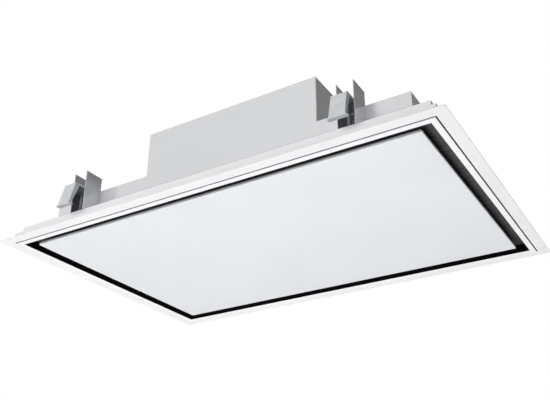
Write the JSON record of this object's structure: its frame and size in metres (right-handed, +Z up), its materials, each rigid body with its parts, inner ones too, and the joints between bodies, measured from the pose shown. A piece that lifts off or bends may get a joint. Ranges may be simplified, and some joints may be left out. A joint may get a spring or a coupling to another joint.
{
  "type": "ceiling range hood",
  "caption": "White flush ceiling range hood: a glass panel with an air gap all round, a stepped frame, a motor box and fold-out clamps above the ceiling.",
  "frame": {"origin": "centre of the ceiling flange's upper face, where the ceiling's underside lies", "axes": "+Z up, +X along the long side, -Y towards the side with the one-piece front sheet"},
  "size_m": [0.9, 0.608, 0.1865],
  "materials": {
    "white_face": "white powder coat, fine satin",
    "flange_paint": "off-white powder coat, satin",
    "galvanised": "galvanised sheet, smooth satin",
    "zinc_plate": "bright zinc-plated steel, satin",
    "shell_sheet": "light grey coated sheet, satin",
    "black_paint": "matt black paint",
    "tray_steel": "brushed dark steel",
    "white_glass": "back-painted white glass, glossy",
    "steel": "zinc-plated steel, satin",
    "aluminium": "mill aluminium, satin",
    "black_plastic": "moulded black plastic, fine grain",
    "grey_plastic": "moulded grey plastic, fine grain",
    "black_rubber": "smooth black rubber",
    "copper": "enamelled copper windings",
    "board_green": "green solder mask",
    "magnet": "dark ferrite in a plastic holder"
  },
  "bodies": {
    "hood": {"ceiling_flange": "flange_paint", "rim_frame": "white_face", "groove_seal": "black_rubber", "gap_liner": "black_paint", "pan": "flange_paint", "inner_tray": "tray_steel", "body_shell": "shell_sheet", "front_sheet": "shell_sheet", "motor_cover": "shell_sheet", "shell_screws": "steel", "hanger_plates": "galvanised", "hinge_brackets": "black_paint", "hinge_pins": "steel", "catch_magnets": "magnet", "filter_frame_left": "aluminium", "filter_frame_right": "aluminium", "filter_mesh_left": "aluminium", "filter_mesh_right": "aluminium", "latch_case_left": "black_plastic", "latch_case_right": "black_plastic", "clamp_channels": "galvanised", "inlet_ring": "galvanised", "scroll_base": "galvanised", "scroll_wall": "galvanised", "scroll_top": "galvanised", "stator": "copper", "motor_can": "steel", "bearing_lower": "steel", "bearing_upper": "steel", "motor_screws": "steel", "motor_cable": "black_rubber", "cable_grommet": "black_rubber", "outlet_spigot": "galvanised", "spigot_screws": "steel", "control_housing": "grey_plastic", "control_lid": "grey_plastic", "control_board": "board_green", "board_parts": "grey_plastic", "cable_gland": "black_plastic"},
    "panel": {"panel_glass": "white_glass", "panel_tray": "shell_sheet", "panel_ears": "steel", "panel_strikes": "steel"},
    "latch_left": {"filter_latch_left": "grey_plastic"},
    "latch_right": {"filter_latch_right": "grey_plastic"},
    "rotor": {"fan_wheel": "galvanised", "motor_shaft": "steel", "rotor_core": "steel"},
    "damper": {"damper_flap": "grey_plastic", "damper_pin": "steel"},
    "claw_front_left": {"claw_front_left": "zinc_plate"},
    "screw_front_left": {"clamp_screw_front_left": "steel"},
    "claw_front_right": {"claw_front_right": "zinc_plate"},
    "screw_front_right": {"clamp_screw_front_right": "steel"},
    "claw_back_left": {"claw_back_left": "zinc_plate"},
    "screw_back_left": {"clamp_screw_back_left": "steel"},
    "claw_back_right": {"claw_back_right": "zinc_plate"},
    "screw_back_right": {"clamp_screw_back_right": "steel"}
  },
  "joints": [
    {"name": "panel_hinge", "type": "hinge", "parent": "hood", "child": "panel", "pos_m": [0, 0.252, 0.008], "axis": [1, 0, 0], "range_deg": [0, 90]},
    {"name": "fan_spin", "type": "hinge", "parent": "hood", "child": "rotor", "pos_m": [0.035, -0.07, 0.14], "axis": [0, 0, 1], "continuous": true},
    {"name": "damper_swing", "type": "hinge", "parent": "hood", "child": "damper", "pos_m": [0.088, 0.179, 0.16815], "axis": [1, 0, 0], "range_deg": [0, 75]},
    {"name": "latch_left_slide", "type": "slide", "parent": "hood", "child": "latch_left", "axis": [0, 1, 0], "range_m": [0, 0.006], "stiffness_N_per_m": 300, "springref_m": -0.004},
    {"name": "latch_right_slide", "type": "slide", "parent": "hood", "child": "latch_right", "axis": [0, 1, 0], "range_m": [0, 0.006], "stiffness_N_per_m": 300, "springref_m": -0.004},
    {"name": "claw_front_left_slide", "type": "slide", "parent": "hood", "child": "claw_front_left", "axis": [0, 0, 1], "range_m": [-0.022, 0.004]},
    {"name": "screw_front_left_turn", "type": "hinge", "parent": "hood", "child": "screw_front_left", "pos_m": [-0.284, -0.26, 0.03], "axis": [0, 0, 1], "range_deg": [-1440, 7920]},
    {"name": "claw_front_right_slide", "type": "slide", "parent": "hood", "child": "claw_front_right", "axis": [0, 0, 1], "range_m": [-0.022, 0.004]},
    {"name": "screw_front_right_turn", "type": "hinge", "parent": "hood", "child": "screw_front_right", "pos_m": [0.284, -0.26, 0.03], "axis": [0, 0, 1], "range_deg": [-1440, 7920]},
    {"name": "claw_back_left_slide", "type": "slide", "parent": "hood", "child": "claw_back_left", "axis": [0, 0, 1], "range_m": [-0.022, 0.004]},
    {"name": "screw_back_left_turn", "type": "hinge", "parent": "hood", "child": "screw_back_left", "pos_m": [-0.284, 0.26, 0.03], "axis": [0, 0, 1], "range_deg": [-1440, 7920]},
    {"name": "claw_back_right_slide", "type": "slide", "parent": "hood", "child": "claw_back_right", "axis": [0, 0, 1], "range_m": [-0.022, 0.004]},
    {"name": "screw_back_right_turn", "type": "hinge", "parent": "hood", "child": "screw_back_right", "pos_m": [0.284, 0.26, 0.03], "axis": [0, 0, 1], "range_deg": [-1440, 7920]}
  ],
  "couplings": [
    {"joint": "screw_front_left_turn", "follows": "claw_front_left_slide", "rad_per_m": -6283.2},
    {"joint": "screw_front_right_turn", "follows": "claw_front_right_slide", "rad_per_m": -6283.2},
    {"joint": "screw_back_left_turn", "follows": "claw_back_left_slide", "rad_per_m": -6283.2},
    {"joint": "screw_back_right_turn", "follows": "claw_back_right_slide", "rad_per_m": -6283.2}
  ]
}
